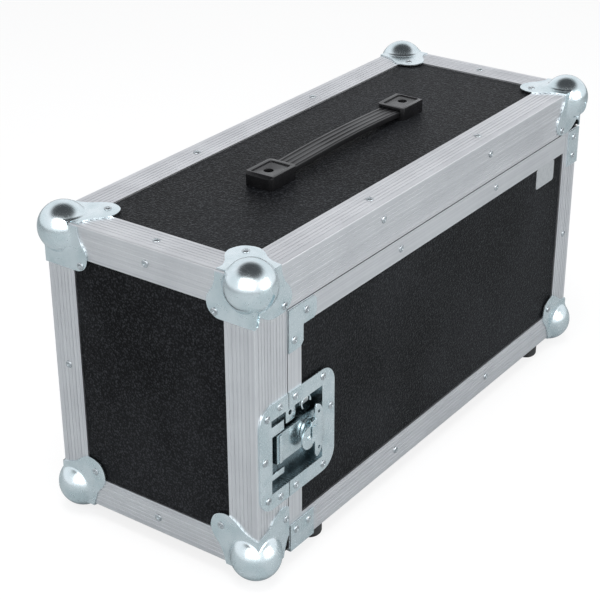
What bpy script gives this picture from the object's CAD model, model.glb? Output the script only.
"""Looks of the mixer flight case: finishes for its CAD pieces, and detailed pieces for its fittings."""

import logging
import math
from contextlib import contextmanager
from dataclasses import dataclass
from enum import Enum
from typing import Iterator, Optional, Sequence, Union

import bmesh
import bpy
from mathutils import Matrix, Vector

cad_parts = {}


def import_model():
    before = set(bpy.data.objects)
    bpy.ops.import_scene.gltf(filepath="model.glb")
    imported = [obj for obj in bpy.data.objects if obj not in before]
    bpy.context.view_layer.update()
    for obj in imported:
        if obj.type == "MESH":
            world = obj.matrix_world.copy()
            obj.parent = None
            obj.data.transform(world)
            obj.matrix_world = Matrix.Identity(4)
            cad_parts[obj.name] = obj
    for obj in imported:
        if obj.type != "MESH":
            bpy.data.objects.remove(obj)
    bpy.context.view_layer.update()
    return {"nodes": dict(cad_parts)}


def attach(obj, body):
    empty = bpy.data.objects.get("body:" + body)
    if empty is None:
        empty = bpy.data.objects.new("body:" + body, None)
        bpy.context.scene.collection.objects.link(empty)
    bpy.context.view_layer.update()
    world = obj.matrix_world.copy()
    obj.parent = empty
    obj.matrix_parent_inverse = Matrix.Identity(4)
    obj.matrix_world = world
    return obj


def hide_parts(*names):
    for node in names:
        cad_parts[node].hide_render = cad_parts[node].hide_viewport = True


log = logging.getLogger("flight_case")

MM = 0.001
Point = tuple[float, float, float]
Line = Sequence[tuple[float, float]]
Box = tuple[Vector, Vector]


class Grain(Enum):
    """The direction that an extrusion was drawn along."""

    X = 0
    Y = 1
    Z = 2


class Value:
    """A shader number whose maths is written as Python expressions."""

    def __init__(self, sheet: "NodeSheet", socket: bpy.types.NodeSocket) -> None:
        """Wraps an output socket of a node sheet."""
        self.sheet = sheet
        self.socket = socket

    def _maths(self, operation: str, first: "Number", second: "Number") -> "Value":
        """Adds one Math node.

        Args:
            operation: The Math node's operation.
            first: Its first number or value.
            second: Its second number or value.

        Returns:
            The node's result.
        """
        node = self.sheet.node("ShaderNodeMath", {"operation": operation}, {0: first, 1: second})
        return Value(self.sheet, node.outputs[0])

    def __add__(self, other: "Number") -> "Value":
        """Sum."""
        return self._maths("ADD", self, other)

    def __radd__(self, other: float) -> "Value":
        """Sum with a number in front."""
        return self._maths("ADD", other, self)

    def __rsub__(self, other: float) -> "Value":
        """Difference from a number."""
        return self._maths("SUBTRACT", other, self)

    def __mul__(self, other: "Number") -> "Value":
        """Product."""
        return self._maths("MULTIPLY", self, other)

    def least(self, other: "Number") -> "Value":
        """The smaller of two."""
        return self._maths("MINIMUM", self, other)

    def ramp(self, low: float, high: float) -> "Value":
        """A smooth rise from 0 at low to 1 at high.

        Args:
            low: Where the rise starts.
            high: Where it ends.

        Returns:
            The eased value.
        """
        node = self.sheet.node(
            "ShaderNodeMapRange",
            {"interpolation_type": "SMOOTHSTEP"},
            {"Value": self, "From Min": low, "From Max": high},
        )
        return Value(self.sheet, node.outputs["Result"])


Number = Union[float, Value]
Colour = Union[Sequence[float], bpy.types.NodeSocket]


class NodeSheet:
    """The node tree of one material, with a single Principled shader at its end."""

    def __init__(self, name: str, tree: Optional[bpy.types.NodeTree] = None) -> None:
        """Makes an empty material, or takes over a given tree.

        Args:
            name: The material's name.
            tree: A tree to fill in place of a new material's own.
        """
        self.material: Optional[bpy.types.Material] = None
        if tree is None:
            self.material = bpy.data.materials.new(name)
            self.material.use_nodes = True
            tree = self.material.node_tree
        self.tree = tree
        self.tree.nodes.clear()

    def node(self, kind: str, settings: Optional[dict] = None, inputs: Optional[dict] = None) -> bpy.types.Node:
        """Adds a node, sets it up, then fills its sockets.

        Args:
            kind: The node's type.
            settings: Its own settings.
            inputs: A value or a link for each named or numbered socket.

        Returns:
            The new node.
        """
        made = self.tree.nodes.new(kind)
        for key, value in (settings or {}).items():
            setattr(made, key, value)
        for key, value in (inputs or {}).items():
            socket = made.inputs[key]
            if isinstance(value, Value):
                self.tree.links.new(value.socket, socket)
            elif isinstance(value, bpy.types.NodeSocket):
                self.tree.links.new(value, socket)
            elif isinstance(value, (tuple, list)) and len(value) == 3 and socket.type == "RGBA":
                socket.default_value = (*value, 1.0)
            else:
                socket.default_value = value
        return made

    def place(self, stretch: Point = (1, 1, 1)) -> bpy.types.NodeSocket:
        """Object coordinates in metres, stretched by a factor along each axis.

        Args:
            stretch: The factors.

        Returns:
            The vector socket.
        """
        source = self.node("ShaderNodeTexCoord").outputs["Object"]
        return self.node("ShaderNodeMapping", None, {"Vector": source, "Scale": stretch}).outputs["Vector"]

    def noise(self, where: bpy.types.NodeSocket, scale: float, detail: float = 2.0, rough: float = 0.5) -> Value:
        """Smooth noise.

        Args:
            where: The coordinates.
            scale: Features per metre of them.
            detail: Octaves.
            rough: How strong the finer octaves are.

        Returns:
            A value around one half.
        """
        node = self.node(
            "ShaderNodeTexNoise", None, {"Vector": where, "Scale": scale, "Detail": detail, "Roughness": rough}
        )
        return Value(self, node.outputs["Fac"])

    def cells(self, where: bpy.types.NodeSocket, scale: float, feature: str = "F1") -> Value:
        """Distance inside Voronoi cells.

        Args:
            where: The coordinates.
            scale: Cells per metre.
            feature: The Voronoi feature to read.

        Returns:
            The distance, in cells.
        """
        node = self.node("ShaderNodeTexVoronoi", {"feature": feature}, {"Vector": where, "Scale": scale})
        return Value(self, node.outputs["Distance"])

    def mix(self, amount: Number, first: Colour, second: Colour) -> bpy.types.NodeSocket:
        """Blends two colours.

        Args:
            amount: 0 for the first and 1 for the second.
            first: A colour or a link.
            second: A colour or a link.

        Returns:
            The colour socket.
        """
        node = self.node("ShaderNodeMix", {"data_type": "RGBA"}, {0: amount, 6: first, 7: second})
        return node.outputs[2]

    def bump(self, height: Value, depth: float, strength: float) -> bpy.types.NodeSocket:
        """A bumped normal.

        Args:
            height: The height, from 0 to 1.
            depth: The real depth of a full step, in metres.
            strength: The share of the effect.

        Returns:
            The normal socket.
        """
        node = self.node("ShaderNodeBump", None, {"Height": height, "Distance": depth, "Strength": strength})
        return node.outputs["Normal"]

    def finish(self, **sockets: object) -> bpy.types.Material:
        """Adds the Principled shader and the output.

        Args:
            **sockets: Values for its sockets, with underscores for the spaces in their names.

        Returns:
            The finished material.
        """
        inputs = {name.replace("_", " "): value for name, value in sockets.items()}
        shader = self.node("ShaderNodeBsdfPrincipled", None, inputs)
        self.node("ShaderNodeOutputMaterial", None, {"Surface": shader.outputs["BSDF"]})
        return self.material


@dataclass(frozen=True)
class LaminateFinish:
    """Black laminate with a pressed leather-like grain."""

    base: Point = (0.0016, 0.0018, 0.0023)
    high_spots: Point = (0.03, 0.032, 0.036)
    pebble: float = 560.0
    depth: float = 0.0006

    def material(self) -> bpy.types.Material:
        """The grained material."""
        sheet = NodeSheet("laminate")
        where = sheet.place()
        warp = sheet.noise(where, 260.0, 2.0)
        pebbles = sheet.cells(where, self.pebble, "SMOOTH_F1")
        fine = sheet.noise(where, 1500.0, 2.0, 0.6)
        height = (1.0 - pebbles) * 0.75 + fine * 0.35 + warp * 0.4
        broad = sheet.noise(where, 9.0, 3.0).ramp(0.35, 0.7)
        tone = (height.ramp(0.75, 1.15) * 0.8 + broad * 0.2).least(1.0)
        return sheet.finish(
            Base_Color=sheet.mix(tone, self.base, self.high_spots),
            Roughness=0.46 - height.ramp(0.7, 1.2) * 0.14 + broad * 0.05,
            Specular_IOR_Level=0.08,
            Normal=sheet.bump(height, self.depth, 1.0),
        )


@dataclass(frozen=True)
class AluminiumFinish:
    """Satin extruded aluminium with draw lines along one axis."""

    grain: Grain
    base: Point = (0.80, 0.805, 0.82)
    worn: Point = (0.66, 0.665, 0.685)

    def material(self) -> bpy.types.Material:
        """The drawn metal."""
        sheet = NodeSheet("aluminium_" + self.grain.name.lower())
        across = [1.0, 1.0, 1.0]
        across[self.grain.value] = 0.003
        along = sheet.place(tuple(across))
        lines = sheet.noise(along, 2300.0, 3.0, 0.7)
        broad_lines = sheet.noise(along, 360.0, 2.0)
        patches = sheet.noise(sheet.place(), 22.0, 3.0)
        tone = (lines * 0.35 + broad_lines * 0.4 + patches * 0.35).ramp(0.4, 0.72)
        return sheet.finish(
            Base_Color=sheet.mix(tone, self.base, self.worn),
            Metallic=1.0,
            Roughness=0.3 + lines * 0.1 + patches * 0.12,
            Normal=sheet.bump(lines * 0.6 + broad_lines * 0.8, 0.00003, 0.55),
        )


@dataclass(frozen=True)
class ZincFinish:
    """Bright blue-passivated zinc over pressed steel."""

    base: Point = (0.78, 0.86, 0.89)
    tint: Point = (0.66, 0.76, 0.79)
    gloss: float = 0.2
    name: str = "zinc"
    recess: Optional[tuple[float, float]] = None
    deep: Point = (0.15, 0.19, 0.205)

    def material(self) -> bpy.types.Material:
        """The plated metal, a little uneven in tint and gloss."""
        sheet = NodeSheet(self.name)
        where = sheet.place()
        clouds = sheet.noise(where, 60.0, 3.0)
        spangle = sheet.noise(where, 900.0, 2.0)
        scratches = sheet.noise(sheet.place((1.0, 0.06, 0.3)), 1300.0, 2.0)
        colour = sheet.mix(clouds.ramp(0.35, 0.68), self.base, self.tint)
        if self.recess is not None:
            depth = Value(sheet, sheet.node("ShaderNodeSeparateXYZ", None, {0: where}).outputs["Y"])
            colour = sheet.mix(depth.ramp(*self.recess), colour, self.deep)
        return sheet.finish(
            Base_Color=colour,
            Metallic=1.0,
            Roughness=self.gloss + clouds * 0.08 + scratches.ramp(0.55, 0.75) * 0.06,
            Normal=sheet.bump(spangle * 0.25 + clouds, 0.00003, 0.12),
        )


@dataclass(frozen=True)
class SteelFinish:
    """Plain plated steel for rivets, screws, pins and spring wire."""

    name: str = "fastener"
    base: Point = (0.60, 0.64, 0.66)
    shade: Point = (0.22, 0.24, 0.26)
    gloss: float = 0.2

    def material(self) -> bpy.types.Material:
        """The plated metal with light scuffs."""
        sheet = NodeSheet(self.name)
        where = sheet.place()
        scuffs = sheet.noise(where, 1400.0, 3.0, 0.7)
        clouds = sheet.noise(where, 240.0, 2.0)
        return sheet.finish(
            Base_Color=sheet.mix((scuffs * 0.5 + clouds * 0.5).ramp(0.42, 0.72), self.base, self.shade),
            Metallic=1.0,
            Roughness=self.gloss + scuffs * 0.14,
            Normal=sheet.bump(scuffs, 0.00003, 0.4),
        )


@dataclass(frozen=True)
class MouldedFinish:
    """Black moulded plastic or rubber with a spark-eroded grain."""

    name: str
    base: Point = (0.012, 0.012, 0.013)
    high_spots: Point = (0.03, 0.03, 0.032)
    dull: float = 0.42
    grain: float = 1500.0

    def material(self) -> bpy.types.Material:
        """The moulded surface."""
        sheet = NodeSheet(self.name)
        where = sheet.place()
        grain = sheet.noise(where, self.grain, 3.0, 0.65)
        broad = sheet.noise(where, 45.0, 3.0)
        return sheet.finish(
            Base_Color=sheet.mix((grain * 0.6 + broad * 0.4).ramp(0.4, 0.75), self.base, self.high_spots),
            Roughness=self.dull + broad * 0.12,
            Normal=sheet.bump(grain, 0.00006, 0.6),
        )


@dataclass(frozen=True)
class FoamFinish:
    """Dark open-cell foam."""

    base: Point = (0.012, 0.012, 0.014)
    cell_wall: Point = (0.075, 0.076, 0.082)

    def material(self) -> bpy.types.Material:
        """The foam with its pores."""
        sheet = NodeSheet("foam")
        where = sheet.place()
        pores = sheet.cells(where, 900.0)
        fine = sheet.noise(where, 2600.0, 2.0, 0.7)
        height = pores * 0.8 + fine * 0.4
        return sheet.finish(
            Base_Color=sheet.mix(height.ramp(0.2, 0.85), self.base, self.cell_wall),
            Roughness=0.92 + fine * 0.06,
            Sheen_Weight=0.15,
            Normal=sheet.bump(height, 0.0005, 0.8),
        )


class Finishes:
    """Every material of the case, each made once."""

    def __init__(self) -> None:
        """Builds the materials."""
        self.laminate = LaminateFinish().material()
        self.aluminium = {grain: AluminiumFinish(grain).material() for grain in Grain}
        self.zinc = ZincFinish().material()
        self.zinc_ball = ZincFinish(name="zinc_ball").material()
        self.zinc_latch = ZincFinish(name="zinc_latch", recess=(-0.1086, -0.1015)).material()
        self.fastener = SteelFinish().material()
        self.spring = SteelFinish("spring_steel", (0.6, 0.62, 0.63), (0.36, 0.38, 0.4), 0.26).material()
        self.rubber = MouldedFinish("rubber", dull=0.62).material()
        self.caps = MouldedFinish("handle_plastic", (0.004, 0.004, 0.0045), (0.011, 0.011, 0.012), 0.2).material()
        self.strap = MouldedFinish(
            "handle_strap", (0.004, 0.004, 0.0045), (0.012, 0.012, 0.013), 0.27, 1100.0
        ).material()
        self.foam = FoamFinish().material()
        self.label = SteelFinish("label", (0.74, 0.75, 0.76), (0.6, 0.61, 0.63), 0.3).material()


@dataclass
class CaseShell:
    """The CAD pieces that keep their own shape: panels, edges and closing strips."""

    finishes: Finishes
    nodes: dict[str, bpy.types.Object]
    along_x: tuple[str, ...] = (
        "angle_top_front", "angle_top_back", "angle_bottom_back", "closing_profile_bottom", "door_strip_top",
        "door_angle_bottom", "stop_strips",
    )
    along_y: tuple[str, ...] = ("angle_top_left", "angle_top_right", "angle_bottom_left", "angle_bottom_right")

    def finish_of(self, name: str) -> bpy.types.Material:
        """The material of one CAD node.

        Args:
            name: The node.

        Returns:
            Its material.
        """
        finishes = self.finishes
        if name in self.along_x:
            return finishes.aluminium[Grain.X]
        if name in self.along_y:
            return finishes.aluminium[Grain.Y]
        if "foam" in name:
            return finishes.foam
        by_start = (
            (("panel_", "front_rim", "door_panel", "door_rims"), finishes.laminate),
            (("angle_", "closing_", "door_angle", "door_strip"), finishes.aluminium[Grain.Z]),
            (("ball",), finishes.zinc_ball),
            (("rivets", "handle_screws", "foot_screws", "hinge_pins", "latch_wing_pins"), finishes.fastener),
            (("latch_spring",), finishes.spring),
            (("feet",), finishes.rubber),
            (("handle_caps",), finishes.caps),
            (("handle_strap",), finishes.strap),
            (("label_plate",), finishes.label),
            (("latch",), finishes.zinc_latch),
        )
        return next((finish for starts, finish in by_start if name.startswith(starts)), finishes.zinc)

    def dress(self) -> None:
        """Gives every CAD node its material."""
        for name, node in self.nodes.items():
            node.data.materials.clear()
            node.data.materials.append(self.finish_of(name))
        log.info("dressed %d CAD pieces", len(self.nodes))


class Bench:
    """The modelling moves that every piece shares, each one a call to Blender's own operators."""

    @staticmethod
    def clear() -> None:
        """Deselects everything."""
        bpy.ops.object.select_all(action="DESELECT")

    @staticmethod
    def take(piece: bpy.types.Object) -> None:
        """Makes one object the only selected and active one."""
        Bench.clear()
        piece.select_set(True)
        bpy.context.view_layer.objects.active = piece

    @staticmethod
    @contextmanager
    def editing(piece: bpy.types.Object) -> Iterator[None]:
        """Edit mode on one piece with all of it selected, and object mode afterwards."""
        Bench.take(piece)
        bpy.ops.object.mode_set(mode="EDIT")
        bpy.ops.mesh.select_all(action="SELECT")
        yield
        bpy.ops.object.mode_set(mode="OBJECT")

    @staticmethod
    def block(name: str, low: Point, high: Point) -> bpy.types.Object:
        """A box between two corners, ready to be shaped.

        Args:
            name: The piece's name.
            low: Its lowest corner, in metres.
            high: Its highest corner.

        Returns:
            The new object, settled at the origin.
        """
        Bench.clear()
        middle = [(a + b) / 2 for a, b in zip(low, high)]
        bpy.ops.mesh.primitive_cube_add(size=1.0, location=middle)
        piece = bpy.context.object
        piece.name = name
        piece.scale = [b - a for a, b in zip(low, high)]
        Bench.settle(piece)
        return piece

    @staticmethod
    def turned(name: str, profile: Line, sides: int) -> bpy.types.Object:
        """A turned piece that stands on the origin along Z.

        Args:
            name: The piece's name.
            profile: Radius and height of each ring, from the foot up, in millimetres.
            sides: Segments round it.

        Returns:
            The new object.
        """
        Bench.clear()
        radius, height = profile[0]
        bpy.ops.mesh.primitive_circle_add(
            vertices=sides, radius=radius * MM, fill_type="NGON", location=(0, 0, height * MM)
        )
        piece = bpy.context.object
        piece.name = name
        Bench.settle(piece)
        with Bench.editing(piece):
            for next_radius, next_height in profile[1:]:
                bpy.ops.mesh.extrude_region_move(
                    TRANSFORM_OT_translate={"value": (0, 0, (next_height - height) * MM)}
                )
                share = next_radius / radius
                bpy.ops.transform.resize(value=(share, share, 1.0), center_override=(0, 0, next_height * MM))
                radius, height = next_radius, next_height
            bpy.ops.mesh.select_all(action="SELECT")
            bpy.ops.mesh.normals_make_consistent(inside=False)
        return piece

    @staticmethod
    def settle(piece: bpy.types.Object) -> None:
        """Moves an object's place, turn and scale into its mesh."""
        Bench.take(piece)
        bpy.ops.object.transform_apply(location=True, rotation=True, scale=True)

    @staticmethod
    def modify(piece: bpy.types.Object, kind: str, **settings: object) -> None:
        """Adds a modifier and applies it.

        Args:
            piece: The object.
            kind: The modifier's type.
            **settings: Its settings.
        """
        Bench.take(piece)
        modifier = piece.modifiers.new(kind.lower(), kind)
        for key, value in settings.items():
            setattr(modifier, key, value)
        bpy.ops.object.modifier_apply(modifier=modifier.name)

    @staticmethod
    def outward(piece: bpy.types.Object, merge: float = 0.00001) -> None:
        """Merges doubles and turns the faces outwards.

        Args:
            piece: The object.
            merge: How close two points are to be one.
        """
        with Bench.editing(piece):
            bpy.ops.mesh.remove_doubles(threshold=merge)
            bpy.ops.mesh.normals_make_consistent(inside=False)

    @staticmethod
    def smooth(piece: bpy.types.Object, degrees: float = 35.0) -> None:
        """Shades smooth across edges flatter than an angle."""
        Bench.take(piece)
        bpy.ops.object.shade_smooth_by_angle(angle=math.radians(degrees))

    @staticmethod
    def join(name: str, parts: Sequence[bpy.types.Object]) -> bpy.types.Object:
        """Joins objects into one.

        Args:
            name: The name of the result.
            parts: The objects.

        Returns:
            The joined object.
        """
        Bench.take(parts[0])
        for part in parts[1:]:
            part.select_set(True)
        if len(parts) > 1:
            bpy.ops.object.join()
        parts[0].name = name
        parts[0].data.name = name
        return parts[0]

    @staticmethod
    def copy(piece: bpy.types.Object, name: str, place: Matrix) -> bpy.types.Object:
        """A copy with its own mesh, put in place.

        Args:
            piece: The object to copy.
            name: The copy's name.
            place: Where it goes.

        Returns:
            The copy.
        """
        made = piece.copy()
        made.data = piece.data.copy()
        made.name = name
        bpy.context.scene.collection.objects.link(made)
        made.data.transform(place)
        return made

    @staticmethod
    def solids(piece: bpy.types.Object, merge: float) -> list[Box]:
        """The box of each separate solid of a piece, in the order of their first points.

        Args:
            piece: The object.
            merge: How close two points are to be one.

        Returns:
            Its lowest and highest corners, one pair a solid.
        """
        mesh = bmesh.new()
        mesh.from_mesh(piece.data)
        bmesh.ops.remove_doubles(mesh, verts=mesh.verts, dist=merge)
        mesh.verts.index_update()
        seen: set[int] = set()
        boxes = []
        for start in mesh.verts:
            if start.index in seen:
                continue
            seen.add(start.index)
            stack, island = [start], []
            while stack:
                vertex = stack.pop()
                island.append(vertex.co.copy())
                for edge in vertex.link_edges:
                    other = edge.other_vert(vertex)
                    if other.index not in seen:
                        seen.add(other.index)
                        stack.append(other)
            boxes.append(tuple(Vector([pick(p[k] for p in island) for k in range(3)]) for pick in (min, max)))
        mesh.free()
        return boxes

    @staticmethod
    def put_away(*pieces: bpy.types.Object) -> None:
        """Removes patterns that were only copied from."""
        for piece in pieces:
            bpy.data.objects.remove(piece)


def dress(piece: bpy.types.Object, material: bpy.types.Material, body: str, slot: str, *nodes: str) -> None:
    """Gives a finished piece its material, body, slot and the CAD nodes it stands for.

    Args:
        piece: The piece.
        material: Its material.
        body: The CAD body it rides on.
        slot: The record's material slot.
        *nodes: The CAD nodes it replaces.
    """
    piece.data.materials.clear()
    piece.data.materials.append(material)
    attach(piece, body)
    if nodes:
        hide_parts(*nodes)
    log.info("%s: %d faces on %s", piece.name, len(piece.data.polygons), body)


class PlateEnd(Enum):
    """How a ball corner's plates end."""

    LOBED = "lobed"
    TRIMMED = "trimmed"


@dataclass(frozen=True)
class CornerPlace:
    """One ball corner: which way it faces, its body, and how far its plates reach along an axis."""

    name: str
    sides: tuple[int, int, int]
    body: str
    ends: PlateEnd
    limits: dict[int, float]
    node: str


@dataclass
class BallCorners:
    """Pressed corner caps: a ball that flares into three riveted plates."""

    finishes: Finishes
    half: tuple[float, float] = (276.0, 109.5)
    low: float = 15.0
    high: float = 291.0
    ball: float = 22.6
    inset: float = 11.0
    sheet: float = 1.2
    flare: float = 2.4
    slit: float = 1.5
    slit_start: float = 26.5
    trim: float = 42.0
    lobed_ends: Point = (34.0, 34.0, 34.0)
    trimmed_ends: Point = (35.0, 37.3, 42.0)
    rings: int = 26
    spacing: float = 1.15
    rim_stretch: float = 1.2
    lobed: tuple[tuple[float, float], ...] = (
        (36.2, 7.0), (39.5, 15.0), (46.8, 24.5), (49.6, 33.0), (47.2, 42.0), (42.0, 47.2), (33.0, 49.6),
        (24.5, 46.8), (15.0, 39.5), (7.0, 36.2),
    )
    trimmed_side: tuple[tuple[float, float], ...] = (
        (37.6, 7.0), (40.0, 15.0), (44.4, 21.5), (46.4, 27.5), (45.4, 34.0), (42.0, 38.8), (37.0, 41.4),
        (32.0, 42.0), (18.0, 42.0), (6.0, 42.0),
    )
    trimmed_front: tuple[tuple[float, float], ...] = (
        (36.2, 7.0), (40.0, 15.0), (46.2, 22.5), (48.6, 29.0), (47.6, 35.5), (44.0, 39.6), (38.5, 41.6),
        (33.0, 42.0), (25.0, 41.9), (17.0, 40.0), (10.5, 36.2), (6.0, 34.0), (3.4, 36.2), (2.2, 41.2), (1.0, 42.0),
    )

    def places(self) -> list[CornerPlace]:
        """The eight corners."""
        trimmed, lobed, cut = PlateEnd.TRIMMED, PlateEnd.LOBED, {2: self.trim}
        rows = (
            ("front_left_top", (-1, -1, 1), "case", trimmed, cut, "ball_front_left_top"),
            ("front_left_bottom", (-1, -1, -1), "case", lobed, {0: 42.3}, "ball_front_left_bottom"),
            ("front_right_top", (1, -1, 1), "case", trimmed, cut, "ball_front_right_top"),
            ("front_right_bottom", (1, -1, -1), "door", lobed, {1: 28.8}, "ball_front_right_bottom"),
            ("back_left_top", (-1, 1, 1), "case", trimmed, cut, "balls_back"),
            ("back_right_top", (1, 1, 1), "case", trimmed, cut, "balls_back"),
            ("back_left_bottom", (-1, 1, -1), "case", lobed, {}, "balls_back"),
            ("back_right_bottom", (1, 1, -1), "case", lobed, {}, "balls_back"),
        )
        return [CornerPlace("ball_corner_" + name, *rest) for name, *rest in rows]

    def straight(self, *ends: Vector) -> list[Vector]:
        """Evenly spaced points on straight lines from end to end, without the last one."""
        line = []
        for a, b in zip(ends, ends[1:]):
            count = max(1, round((b - a).length / self.spacing))
            line += [a.lerp(b, k / count) for k in range(count)]
        return line

    @staticmethod
    def curve(points: Sequence[Vector], step: float) -> list[Vector]:
        """A smooth line through points, without its last one.

        Args:
            points: The points.
            step: The spacing along it.

        Returns:
            The line's points.
        """
        line = []
        for k in range(len(points) - 1):
            before, a, b = points[max(k - 1, 0)], points[k], points[k + 1]
            after = points[min(k + 2, len(points) - 1)]
            count = max(1, round((b - a).length / step))
            for j in range(count):
                t = j / count
                line.append(
                    0.5 * (2 * a + (b - before) * t + (2 * before - 5 * a + 4 * b - after) * t * t
                           + (3 * a - before - 3 * b + after) * t ** 3)
                )
        return line

    def outline(self, place: CornerPlace, face: int) -> list[Vector]:
        """The closed edge of one plate, in millimetres from the case's corner.

        Args:
            place: The corner.
            face: The axis that the plate faces along.

        Returns:
            Points round the plate, from the case's corner and back.
        """
        first, second = [axis for axis in (0, 1, 2) if axis != face]
        skin = -self.sheet

        def at(a: float, b: float) -> Vector:
            point = [0.0, 0.0, 0.0]
            point[face], point[first], point[second] = skin, a, b
            return Vector(point)

        trimmed = place.ends is PlateEnd.TRIMMED
        ends = self.trimmed_ends if trimmed else self.lobed_ends
        middle = {0: self.trimmed_side, 1: self.trimmed_front}.get(face, self.lobed) if trimmed else self.lobed
        slit_first, slit_second = trimmed and first == 1, trimmed and second == 1
        slit, start = self.slit, self.slit_start
        near_first, near_second = slit if slit_first else skin, slit if slit_second else skin
        rim = [at(ends[first], near_first)] + [at(a, b) for a, b in middle] + [at(near_second, ends[second])]
        line = self.straight(
            at(skin, skin), *([at(start, skin), at(start, slit)] if slit_first else []), at(ends[first], near_first)
        )
        line += self.curve(rim, self.spacing * self.rim_stretch)
        line += self.straight(
            at(near_second, ends[second]), *([at(slit, start), at(skin, start)] if slit_second else []), at(skin, skin)
        )
        for point in line:
            for axis, limit in place.limits.items():
                point[axis] = min(point[axis], limit)
        return line

    def blown(self, point: Vector) -> Vector:
        """A point of the flat plates pushed out onto the ball, with a flare between the two."""
        middle = Vector((self.inset, self.inset, self.inset))
        ray = point - middle
        flat = ray.length
        overlap = max(self.flare - abs(flat - self.ball), 0.0) / self.flare
        reach = max(flat, self.ball) + overlap * overlap * self.flare * 0.25
        return middle + ray * (reach / flat)

    def plate(self, place: CornerPlace, face: int) -> bpy.types.Object:
        """One plate with its share of the ball: a ringed disc laid out to the plate's edge.

        Args:
            place: The corner.
            face: The axis that the plate faces along.

        Returns:
            The open sheet.
        """
        line = self.outline(place, face)
        Bench.clear()
        bpy.ops.mesh.primitive_circle_add(vertices=len(line), radius=1.0, fill_type="NOTHING")
        disc = bpy.context.object
        with Bench.editing(disc):
            for ring in range(self.rings, 1, -1):
                share = (ring - 1) / ring
                bpy.ops.mesh.extrude_edges_move()
                bpy.ops.transform.resize(value=(share, share, 1.0), center_override=(0, 0, 0))
            bpy.ops.mesh.edge_face_add()
            bpy.ops.mesh.poke()
        centre = Vector((self.inset, self.inset, self.inset))
        centre[face] = -self.sheet
        for vertex in disc.data.vertices:
            share = vertex.co.length
            if share < 0.5 / self.rings:
                flat = centre
            else:
                turn = math.atan2(vertex.co.y, vertex.co.x) / (2 * math.pi) * len(line)
                flat = centre.lerp(line[round(turn) % len(line)], share)
            vertex.co = self.blown(flat) * MM
        return disc

    def cap(self, place: CornerPlace) -> bpy.types.Object:
        """A whole corner cap in place.

        Args:
            place: The corner.

        Returns:
            The finished piece.
        """
        cap = Bench.join(place.name, [self.plate(place, face) for face in (0, 1, 2)])
        Bench.outward(cap, 0.00002)
        mesh = cap.data
        middle = Vector((self.inset, self.inset, self.inset)) * MM
        out = sum((p.center - middle).dot(p.normal) * p.area for p in mesh.polygons)
        if out < 0:
            mesh.flip_normals()
        Bench.modify(cap, "SOLIDIFY", thickness=(self.sheet - 0.05) * MM, offset=-1.0)
        scale = Matrix.Diagonal((*[-side for side in place.sides], 1.0))
        corner = (
            self.half[0] * place.sides[0],
            self.half[1] * place.sides[1],
            self.high if place.sides[2] > 0 else self.low,
        )
        mesh.transform(Matrix.Translation(Vector(corner) * MM) @ scale)
        if scale.determinant() < 0:
            mesh.flip_normals()
        Bench.smooth(cap, 40.0)
        return cap

    def build(self) -> None:
        """Builds and dresses the eight caps."""
        for place in self.places():
            dress(self.cap(place), self.finishes.zinc_ball, place.body, "zinc", place.node)


@dataclass
class Rivets:
    """Blind rivets with a domed head and the sunken end of their pin."""

    finishes: Finishes
    nodes: dict[str, bpy.types.Object]
    segments: int = 20
    head: tuple[tuple[float, float], ...] = (
        (3.5, 0.0), (3.5, 0.3), (3.32, 0.6), (2.9, 0.88), (2.3, 1.08), (1.75, 1.16), (1.5, 1.12), (1.34, 0.9),
        (1.3, 0.2), (0.95, 0.16), (0.5, 0.3), (0.2, 0.34),
    )
    height: float = 1.4
    merge: float = 0.000005
    middle: Point = (0.0, 0.0, 0.15)

    def places(self, node: str) -> list[Box]:
        """Where each rivet's head sits, read from the CAD node's separate solids.

        Args:
            node: The CAD node.

        Returns:
            The foot of each head and its outward direction.
        """
        found = []
        for low, high in Bench.solids(self.nodes[node], self.merge):
            size, middle = high - low, (low + high) / 2
            axis = max(range(3), key=lambda k: size[k])
            sign = 1.0 if middle[axis] > self.middle[axis] else -1.0
            outward = Vector([sign if k == axis else 0.0 for k in range(3)])
            foot = middle.copy()
            foot[axis] = (high[axis] if sign > 0 else low[axis]) - sign * self.height * MM
            found.append((foot, outward))
        return found

    def build(self) -> None:
        """One pattern, copied to every place of each body."""
        pattern = Bench.turned("rivet_pattern", self.head, self.segments)
        Bench.smooth(pattern, 50.0)
        for node, body in (("rivets_body", "case"), ("rivets_door", "door")):
            copies = []
            for k, (foot, outward) in enumerate(self.places(node)):
                turn = outward.to_track_quat("Z", "Y").to_matrix().to_4x4()
                spin = Matrix.Rotation(k * 0.7, 4, "Z")
                copies.append(Bench.copy(pattern, f"{node}_{k}", Matrix.Translation(foot) @ turn @ spin))
            dress(Bench.join("blind_" + node, copies), self.finishes.fastener, body, "fastener", node)
        Bench.put_away(pattern)


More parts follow.
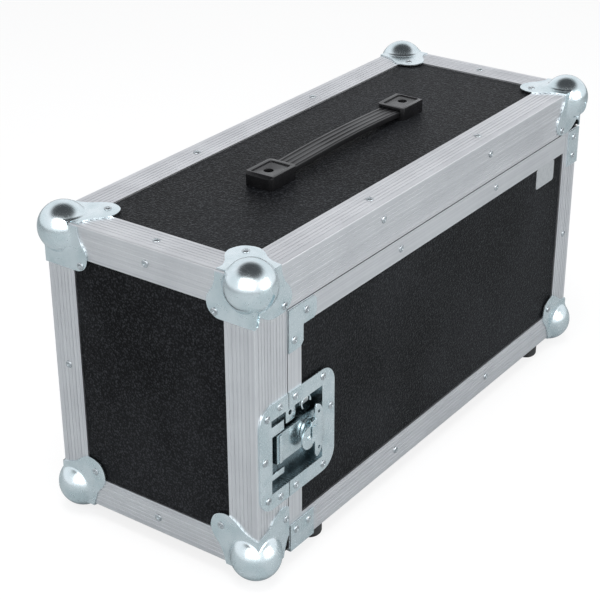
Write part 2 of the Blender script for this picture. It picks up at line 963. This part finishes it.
@dataclass
class Softened:
    """CAD pieces that keep their shape and get the rounded edges of the real ones."""

    finishes: Finishes
    nodes: dict[str, bpy.types.Object]

    def soften(self, node: str, name: str, radius: float, degrees: float = 40.0) -> bpy.types.Object:
        """A copy of a CAD piece with its sharp edges rounded.

        Args:
            node: The CAD node.
            name: The new piece's name.
            radius: The rounding, in millimetres.
            degrees: The least angle between two faces that is rounded.

        Returns:
            The new piece.
        """
        piece = Bench.copy(self.nodes[node], name, Matrix.Identity(4))
        piece.parent = None
        piece.matrix_world = Matrix.Identity(4)
        Bench.outward(piece, 0.00002)
        Bench.modify(piece, "DECIMATE", decimate_type="DISSOLVE", angle_limit=math.radians(1.5))
        Bench.modify(
            piece, "BEVEL", width=radius * MM, segments=3, limit_method="ANGLE", angle_limit=math.radians(degrees),
            use_clamp_overlap=True,
        )
        Bench.smooth(piece, 38.0)
        return piece

    def build(self) -> None:
        """Rounds the handle's caps and its strap."""
        caps = self.soften("handle_caps", "handle_end_caps", 0.55)
        dress(caps, self.finishes.caps, "case", "handle_plastic", "handle_caps")
        strap = self.soften("handle_strap", "handle_ribbed_strap", 0.3, 50.0)
        dress(strap, self.finishes.strap, "case", "handle_strap", "handle_strap")


@dataclass
class LatchDetail:
    """The recessed latch's butterfly wings, spring, spring guard, hook end and keeper bars, in millimetres."""

    finishes: Finishes
    axis: tuple[float, float] = (-202.0, 122.0)
    wing_offset: float = 1.9
    wing_y: float = -113.3
    wing_thickness: float = 1.5
    rounding: float = 0.3
    right_half: tuple[float, float] = (13.6, 26.0)
    left_disc: float = 10.8
    left_drop: float = 3.5
    barrel: tuple[float, float, float] = (1.7, 5.3, 11.0)
    lug: float = 5.6
    hole: float = 1.6
    hole_places: tuple[float, float] = (0.42, 0.68)
    right_drop: float = 1.5
    right_fullness: float = 0.75
    left_arc: tuple[float, float] = (62.0, 236.0)
    left_middle: float = 4.2
    stud_middle: float = 5.2
    tip: tuple[float, float] = (2.6, 4.0)
    notch: float = 2.9
    reach: float = 0.2
    stud: tuple[tuple[float, float], ...] = (
        (2.5, 0.0), (2.5, 0.35), (2.2, 0.75), (1.6, 0.95), (1.1, 0.9), (0.8, 0.6), (0.3, 0.55),
    )
    guard_place: Point = (-206.0, -108.6, 150.6)
    guard_ring: tuple[float, float] = (6.2, 0.75)
    guard_floor: float = 148.0
    bracket_front: float = -106.4
    bracket_depth: float = 1.4
    bracket_hole: tuple[float, float, float, float] = (-225.5, 149.5, 2.2, -106.0)
    bracket_line: tuple[tuple[float, float], ...] = (
        (-231.5, 141.0), (-219.0, 141.0), (-217.5, 146.0), (-218.5, 156.8), (-231.5, 156.8),
    )
    coil_place: Point = (-206.0, -104.0, 151.5)
    coil_turns: float = 5.5
    coil_radius: float = 3.3
    coil_pitch: float = 1.55
    coil_wire: float = 0.5
    hook_end: tuple[float, ...] = (-243.0, 108.6, -239.0, 135.4, -108.6, 1.7)
    keeper_bars: tuple[tuple[float, ...], ...] = (
        (-259.4, 98.0, -253.8, 150.0, -109.0, 1.4),
        (-256.0, 140.0, -238.0, 149.5, -109.4, 2.0),
        (-256.0, 98.0, -238.0, 103.8, -109.2, 1.8),
    )

    def plate(self, name: str, line: Line, front: float, thickness: float) -> bpy.types.Object:
        """A flat plate with a given outline that faces the door's front.

        Args:
            name: Its name.
            line: Its outline, as x and z in millimetres.
            front: The y of its front face, in millimetres.
            thickness: How far it reaches back.

        Returns:
            The plate.
        """
        Bench.clear()
        bpy.ops.mesh.primitive_circle_add(vertices=len(line), radius=1.0, fill_type="NGON")
        piece = bpy.context.object
        piece.name = name
        for vertex, (x, z) in zip(piece.data.vertices, line):
            vertex.co = Vector((x, front, z)) * MM
        with Bench.editing(piece):
            bpy.ops.mesh.extrude_region_move(TRANSFORM_OT_translate={"value": (0, thickness * MM, 0)})
        Bench.outward(piece)
        Bench.modify(
            piece, "BEVEL", width=self.rounding * MM, segments=2, limit_method="ANGLE", angle_limit=math.radians(50)
        )
        return piece

    def bar(self, left: float, low: float, right: float, high: float, front: float, depth: float) -> bpy.types.Object:
        """An upright rectangular plate.

        Args:
            left: Its least x.
            low: Its least z.
            right: Its greatest x.
            high: Its greatest z.
            front: The y of its front face.
            depth: How far it reaches back.

        Returns:
            The plate.
        """
        return self.plate("bar", ((left, low), (right, low), (right, high), (left, high)), front, depth)

    def drill(self, piece: bpy.types.Object, x: float, z: float, radius: float, y: float) -> None:
        """Cuts a round hole through a plate.

        Args:
            piece: The plate.
            x: The hole's place, in millimetres.
            z: The hole's place, in millimetres.
            radius: Its radius.
            y: The plate's depth.
        """
        Bench.clear()
        bpy.ops.mesh.primitive_cylinder_add(
            vertices=20, radius=radius * MM, depth=8 * MM, location=(x * MM, y * MM, z * MM),
            rotation=(math.pi / 2, 0, 0),
        )
        cutter = bpy.context.object
        Bench.settle(cutter)
        Bench.modify(piece, "BOOLEAN", operation="DIFFERENCE", solver="EXACT", object=cutter)
        Bench.put_away(cutter)

    def knuckles(self, x: float) -> list[bpy.types.Object]:
        """The rolled barrels of a wing, above and below the spindle's lug."""
        radius, start, stop = self.barrel
        parts = []
        for way in (-1, 1):
            profile = ((radius * 0.8, start), (radius, start + 0.3), (radius, stop - 0.3), (radius * 0.8, stop))
            barrel = Bench.turned("knuckle", profile, 20)
            turn = Matrix.Diagonal((1, 1, way, 1))
            barrel.data.transform(Matrix.Translation(Vector((x, self.wing_y, self.axis[1])) * MM) @ turn)
            Bench.outward(barrel)
            parts.append(barrel)
        return parts

    def right_wing(self) -> bpy.types.Object:
        """The large wing: half an oval with two small holes."""
        start = self.axis[0] + self.wing_offset
        width, half = self.right_half
        middle = self.axis[1] - self.right_drop
        high, low = self.axis[1] + self.lug, self.axis[1] - self.lug
        line = []
        for k in range(33):
            turn = math.pi * (k / 32 - 0.5)
            bulge = abs(math.cos(turn)) ** self.right_fullness
            line.append((start + width * bulge, middle + half * math.sin(turn)))
        near = start - self.reach
        inner = near + self.notch
        tip_width, tip_height = self.tip
        line[0] = (near + tip_width, line[0][1])
        line[-1] = (near + tip_width, line[-1][1])
        line += [
            (near, line[-1][1] - tip_height), (near, high), (inner, high), (inner, low), (near, low),
            (near, line[0][1] + tip_height),
        ]
        wing = self.plate("wing", line, self.wing_y - self.wing_thickness / 2, self.wing_thickness)
        for way in (-1, 1):
            across, along = self.hole_places
            self.drill(wing, start + width * across, middle + way * half * along, self.hole, self.wing_y)
        return Bench.join("latch_wing_plate_right", [wing] + self.knuckles(start))

    def left_wing(self, rivet: bpy.types.Object) -> bpy.types.Object:
        """The small round wing with a rivet in its middle.

        Args:
            rivet: The rivet pattern, standing along Z.

        Returns:
            The wing.
        """
        start = self.axis[0] - self.wing_offset
        middle = self.axis[1] - self.left_drop
        high, low = self.axis[1] + self.lug, self.axis[1] - self.lug
        near, inner = start + self.reach, start - self.notch
        first, sweep = (math.radians(angle) for angle in self.left_arc)
        radius, steps = self.left_disc, 28
        line = []
        for k in range(steps + 1):
            turn = first + sweep * k / steps
            line.append((start - self.left_middle + radius * math.cos(turn), middle + radius * math.sin(turn)))
        line[0] = (near, line[0][1])
        line[-1] = (near, line[-1][1])
        line += [(near, low), (inner, low), (inner, high), (near, high)]
        face = self.wing_y - self.wing_thickness / 2
        wing = self.plate("wing", line, face, self.wing_thickness)
        spot = Vector((start - self.stud_middle, face, middle)) * MM
        stud = Bench.copy(rivet, "stud", Matrix.Translation(spot) @ Matrix.Rotation(math.pi / 2, 4, "X"))
        return Bench.join("latch_wing_plate_left", [wing, stud] + self.knuckles(start))

    def guard(self) -> bpy.types.Object:
        """The curved steel strip that shields the spring."""
        Bench.clear()
        radius, wire = self.guard_ring
        x, y, z = self.guard_place
        bpy.ops.mesh.primitive_torus_add(
            major_segments=40, minor_segments=8, major_radius=radius * MM, minor_radius=wire * MM,
            location=(x * MM, y * MM, z * MM), rotation=(math.pi / 2, 0, 0),
        )
        ring = bpy.context.object
        Bench.settle(ring)
        with Bench.editing(ring):
            bpy.ops.mesh.bisect(
                plane_co=(x * MM, 0, self.guard_floor * MM), plane_no=(0.35, 0, -1), use_fill=True, clear_outer=True
            )
        Bench.outward(ring)
        return ring

    def coil(self) -> bpy.types.Object:
        """The wound spring: a wire bent round a helix."""
        turns, radius = self.coil_turns, self.coil_radius
        x, y, z = self.coil_place
        length = turns * self.coil_pitch
        steps = int(turns * 20)
        path = bpy.data.curves.new("latch_coil", "CURVE")
        path.dimensions = "3D"
        path.bevel_depth = self.coil_wire * MM
        path.bevel_resolution = 3
        line = path.splines.new("POLY")
        line.points.add(steps)
        for k in range(steps + 1):
            turn = 2 * math.pi * turns * k / steps
            line.points[k].co = (
                (x - length / 2 + length * k / steps) * MM, (y - radius * math.cos(turn)) * MM,
                (z + radius * math.sin(turn)) * MM, 1.0,
            )
        coil = bpy.data.objects.new("latch_coil", path)
        bpy.context.scene.collection.objects.link(coil)
        Bench.take(coil)
        bpy.ops.object.convert(target="MESH")
        return bpy.context.object

    def put(self, name: str, body: str, parts: list[bpy.types.Object]) -> None:
        """Joins parts into one zinc piece on a body.

        Args:
            name: The piece's name.
            body: The CAD body it rides on.
            parts: Its parts.
        """
        piece = Bench.join(name, parts)
        Bench.smooth(piece)
        dress(piece, self.finishes.zinc, body, "zinc")

    def build(self) -> None:
        """Builds and dresses the latch's small pieces."""
        rivet = Bench.turned("stud_pattern", self.stud, 24)
        right, left = self.right_wing(), self.left_wing(rivet)
        for wing, side in ((right, "right"), (left, "left")):
            Bench.smooth(wing)
            dress(wing, self.finishes.zinc, "latch_wing_" + side, "zinc", "latch_wing_" + side)
        bracket = self.plate("bracket", self.bracket_line, self.bracket_front, self.bracket_depth)
        self.drill(bracket, *self.bracket_hole)
        self.put("latch_spring_guard", "door", [self.guard(), bracket])
        coil = self.coil()
        Bench.smooth(coil, 60.0)
        dress(coil, self.finishes.spring, "door", "spring_steel", "latch_spring")
        self.put("latch_hook_crossbar", "latch_hook", [self.bar(*self.hook_end)])
        self.put("latch_keeper_frame", "case", [self.bar(*bar) for bar in self.keeper_bars])
        Bench.put_away(rivet)


@dataclass
class FoamPads:
    """Soft foam pads that line the case and the door."""

    finishes: Finishes
    nodes: dict[str, bpy.types.Object]
    cut: float = 0.025
    least_cut: float = 0.004
    crown: float = 1.2
    softness: float = 0.22
    gap: float = 0.0002
    merge: float = 0.00001

    def pad(self, low: Vector, high: Vector) -> bpy.types.Object:
        """One pad: a slab with soft edges and a slightly uneven face.

        Args:
            low: Its lowest corner.
            high: Its highest corner.

        Returns:
            The pad.
        """
        gap = Vector((self.gap, self.gap, self.gap))
        piece = Bench.block("pad", tuple(low + gap), tuple(high - gap))
        size = [b - a for a, b in zip(low, high)]
        thin_axis = min(range(3), key=lambda k: size[k])
        Bench.modify(piece, "BEVEL", width=size[thin_axis] * self.softness, segments=4, limit_method="NONE")
        cuts = max(2, round(max(size) / self.cut))
        with Bench.editing(piece):
            for axis in (axis for axis in range(3) if size[axis] / cuts >= self.least_cut):
                for k in range(1, cuts):
                    plane, point = Vector((0, 0, 0)), Vector((0, 0, 0))
                    plane[axis] = 1.0
                    point[axis] = low[axis] + size[axis] * k / cuts
                    bpy.ops.mesh.select_all(action="SELECT")
                    bpy.ops.mesh.bisect(plane_co=point, plane_no=plane)
        middle = (low + high) / 2
        for vertex in piece.data.vertices:
            x, y, z = vertex.co
            wave = math.sin(x * 61 + z * 23) * math.sin(z * 47 + y * 31) * math.cos(y * 53 + x * 17)
            inward = 1.0 if vertex.co[thin_axis] < middle[thin_axis] else -1.0
            vertex.co[thin_axis] += inward * (0.35 + 0.35 * wave) * self.crown * MM
        return piece

    def build(self) -> None:
        """Builds every pad of the body and the door."""
        for node in ("foam_back", "foam_top", "foam_bottom", "foam_ends", "door_foam"):
            body = "door" if node == "door_foam" else "case"
            for k, (low, high) in enumerate(Bench.solids(self.nodes[node], self.merge)):
                pad = self.pad(low, high)
                pad.name = f"pad_{node}_{k}"
                Bench.outward(pad)
                Bench.smooth(pad, 60.0)
                dress(pad, self.finishes.foam, body, "foam", node)


@dataclass
class Studio:
    """Pale floor, soft lamps, a light room and the camera."""

    eye: Point = (-1.125, -0.764, 0.819)
    right: Point = (0.5824, -0.8129, -0.0036)
    up: Point = (0.3697, 0.2611, 0.8917)
    back: Point = (-0.7239, -0.5207, 0.4526)
    lens: float = 94.0
    floor_half: float = 6.0
    aim: Point = (0.0, 0.0, 0.15)
    lamps: tuple[tuple[str, Point, tuple[float, float], float, bool], ...] = (
        ("key", (-1.95, -0.75, 1.45), (2.6, 1.7), 27.0, True),
        ("front", (0.2, -2.2, 0.95), (1.5, 1.0), 22.0, True),
        ("overhead", (-0.4, -0.1, 2.3), (1.3, 1.3), 36.0, False),
    )

    def lamp(self, name: str, place: Point, size: tuple[float, float], power: float, mirrored: bool) -> None:
        """Adds one soft area lamp.

        Args:
            name: Its name.
            place: Where it hangs.
            size: Its width and height.
            power: Its watts.
            mirrored: Whether it shows in reflections.
        """
        data = bpy.data.lights.new(name, "AREA")
        data.shape = "RECTANGLE"
        data.size, data.size_y = size
        data.energy = power
        lamp = bpy.data.objects.new(name, data)
        lamp.location = place
        lamp.rotation_mode = "QUATERNION"
        lamp.rotation_quaternion = (Vector(self.aim) - Vector(place)).to_track_quat("-Z", "Y")
        lamp.visible_glossy = mirrored
        bpy.context.scene.collection.objects.link(lamp)

    def room(self) -> None:
        """The world: white to the camera and in reflections, greyer as light."""
        world = bpy.data.worlds.new("room")
        bpy.context.scene.world = world
        world.use_nodes = True
        sheet = NodeSheet("room", world.node_tree)
        path = sheet.node("ShaderNodeLightPath")
        up = sheet.node("ShaderNodeSeparateXYZ", None, {0: sheet.node("ShaderNodeTexCoord").outputs["Generated"]})
        height = Value(sheet, up.outputs["Z"])
        ceiling = height.ramp(0.6, 0.84)
        reflected = sheet.mix(ceiling, (0.93, 0.95, 0.98), (0.06, 0.062, 0.066))
        seen = sheet.mix(Value(sheet, path.outputs["Is Glossy Ray"]), (0.55, 0.56, 0.57), reflected)
        colour = sheet.mix(Value(sheet, path.outputs["Is Camera Ray"]), seen, (1.0, 1.0, 1.0))
        shader = sheet.node("ShaderNodeBackground", None, {"Color": colour, "Strength": 1.0})
        sheet.node("ShaderNodeOutputWorld", None, {"Surface": shader.outputs[0]})

    def floor(self) -> None:
        """A pale floor that keeps the shadow and fades into the white room."""
        bpy.ops.mesh.primitive_plane_add(size=2 * self.floor_half, location=(0, 0, 0))
        plane = bpy.context.object
        plane.name = "floor"
        sheet = NodeSheet("floor")
        path = sheet.node("ShaderNodeLightPath")
        seen = Value(sheet, path.outputs["Is Camera Ray"])
        mottle = sheet.noise(sheet.place(), 3.0, 2.0)
        pale = sheet.mix(mottle, (0.86, 0.86, 0.865), (0.9, 0.9, 0.9))
        mirrored = Value(sheet, path.outputs["Is Glossy Ray"])
        diffuse = sheet.node(
            "ShaderNodeBsdfDiffuse", None, {"Color": sheet.mix(mirrored, pale, (0.38, 0.4, 0.41))}
        )
        glow = sheet.node("ShaderNodeEmission", None, {"Color": (1.0, 1.0, 1.0), "Strength": 1.0})
        mixed = sheet.node("ShaderNodeMixShader", None, {0: seen * 0.8, 1: diffuse.outputs[0], 2: glow.outputs[0]})
        sheet.node("ShaderNodeOutputMaterial", None, {"Surface": mixed.outputs[0]})
        plane.data.materials.append(sheet.material)

    def camera(self) -> None:
        """The photograph's camera."""
        data = bpy.data.cameras.new("camera")
        data.lens = self.lens
        data.sensor_width = 36.0
        data.clip_start, data.clip_end = 0.01, 60.0
        camera = bpy.data.objects.new("camera", data)
        turn = Matrix((self.right, self.up, self.back)).transposed()
        camera.matrix_world = Matrix.Translation(self.eye) @ turn.to_4x4()
        bpy.context.scene.collection.objects.link(camera)
        bpy.context.scene.camera = camera

    def build(self) -> None:
        """Sets up the view, the room, the floor, the lamps and the camera."""
        bpy.context.scene.view_settings.view_transform = "Standard"
        self.room()
        self.floor()
        self.camera()
        for lamp in self.lamps:
            self.lamp(*lamp)
        log.info("studio ready")


def main() -> None:
    """Builds the looks in order."""
    logging.basicConfig(level=logging.INFO)
    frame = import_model()
    bpy.ops.object.select_all(action="DESELECT")
    finishes = Finishes()
    CaseShell(finishes, frame["nodes"]).dress()
    BallCorners(finishes).build()
    Rivets(finishes, frame["nodes"]).build()
    Softened(finishes, frame["nodes"]).build()
    LatchDetail(finishes).build()
    FoamPads(finishes, frame["nodes"]).build()
    Studio().build()


if __name__ == "__main__":
    main()
